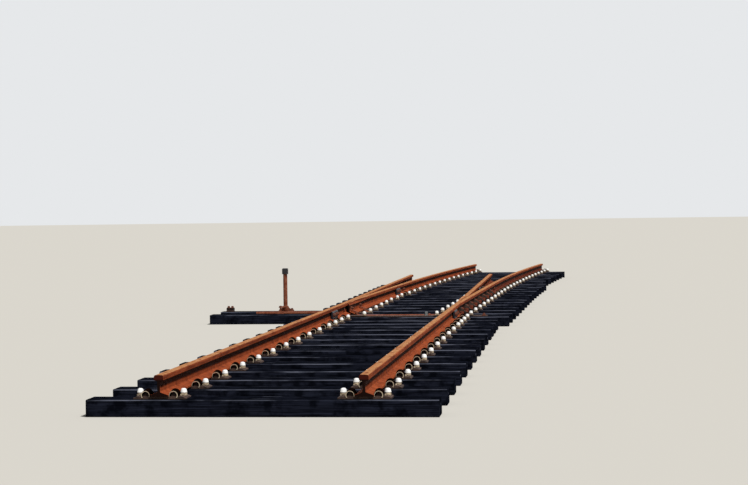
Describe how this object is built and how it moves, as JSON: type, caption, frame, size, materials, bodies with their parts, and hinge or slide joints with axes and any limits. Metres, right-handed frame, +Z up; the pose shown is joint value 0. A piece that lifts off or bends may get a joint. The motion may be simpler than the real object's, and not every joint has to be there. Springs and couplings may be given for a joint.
{
  "type": "railway trap points panel",
  "caption": "Wooden-sleepered railway trap points with double blades, a stretcher bar and a hand throw stand, ending square at both ends.",
  "frame": {"origin": "on the track centre line at the underside of the timber just before the blade toes", "axes": "+Y along the track away from the open end, +X to the right, +Z up"},
  "size_m": [4.6594, 27.5089, 0.727],
  "materials": {
    "creosoted_timber": "creosoted and weathered, dull",
    "rail_steel": "rolled steel with a dry orange-brown rust",
    "plate_iron": "cast, brown-grey rust and dust",
    "fishplate_steel": "blue-black oiled steel",
    "rod_steel": "forged steel, red-brown rust",
    "black_paint": "black paint, matt",
    "galvanised_clamp": "dull grey zinc"
  },
  "bodies": {
    "panel": {"plain_sleepers": "creosoted_timber", "joint_sleepers": "creosoted_timber", "toe_timber": "creosoted_timber", "long_toe_timbers": "creosoted_timber", "slide_timbers": "creosoted_timber", "heel_timbers": "creosoted_timber", "trap_timbers": "creosoted_timber", "far_sleepers": "creosoted_timber", "left_lead_rail": "rail_steel", "right_lead_rail": "rail_steel", "left_stock_rail": "rail_steel", "right_stock_rail": "rail_steel", "left_through_rail": "rail_steel", "right_trap_rail": "rail_steel", "left_joint_fishplates": "fishplate_steel", "right_joint_fishplates": "fishplate_steel", "left_heel_fishplates": "fishplate_steel", "right_heel_fishplates": "fishplate_steel", "left_heel_block": "plate_iron", "right_heel_block": "plate_iron", "left_baseplates": "plate_iron", "right_baseplates": "plate_iron", "left_slide_plates": "plate_iron", "right_slide_plates": "plate_iron", "left_twin_plates": "plate_iron", "right_twin_plates": "plate_iron", "left_far_baseplates": "plate_iron", "right_far_baseplates": "plate_iron", "sole_plate": "plate_iron", "throw_stand": "rod_steel", "end_block": "plate_iron"},
    "left_switch": {"left_blade": "rail_steel", "left_stretcher_bracket": "rod_steel", "drive_bracket": "rod_steel"},
    "right_switch": {"right_blade": "rail_steel", "right_stretcher_bracket": "rod_steel"},
    "stretcher": {"stretcher_bar": "rod_steel", "stretcher_clamp": "galvanised_clamp"},
    "drive": {"drive_rod": "rod_steel"},
    "spindle": {"throw_spindle": "rod_steel", "throw_crank": "rod_steel", "spindle_head": "black_paint"}
  },
  "joints": [
    {"name": "left_blade_hinge", "type": "hinge", "parent": "panel", "child": "left_switch", "pos_m": [-0.61656, 5.44477, 0.22], "axis": [0, 0, 1], "range_deg": [0, 1.16]},
    {"name": "right_blade_hinge", "type": "hinge", "parent": "panel", "child": "right_switch", "pos_m": [0.70037, 5.43483, 0.22], "axis": [0, 0, 1], "range_deg": [-1.16, 0]},
    {"name": "stretcher_slide", "type": "slide", "parent": "panel", "child": "stretcher", "axis": [1, 0, 0], "range_m": [0, 0.1035]},
    {"name": "drive_slide", "type": "slide", "parent": "panel", "child": "drive", "axis": [1, 0, 0], "range_m": [0, 0.0855]},
    {"name": "spindle_turn", "type": "hinge", "parent": "panel", "child": "spindle", "pos_m": [-1.745, 1.413, 0.3], "axis": [0, 0, 1], "range_deg": [0, 29]}
  ],
  "couplings": [
    {"joint": "stretcher_slide", "follows": "left_blade_hinge", "m_per_rad": 5.0736},
    {"joint": "drive_slide", "follows": "left_blade_hinge", "m_per_rad": 4.1985},
    {"joint": "spindle_turn", "follows": "left_blade_hinge", "ratio": 24.961}
  ]
}
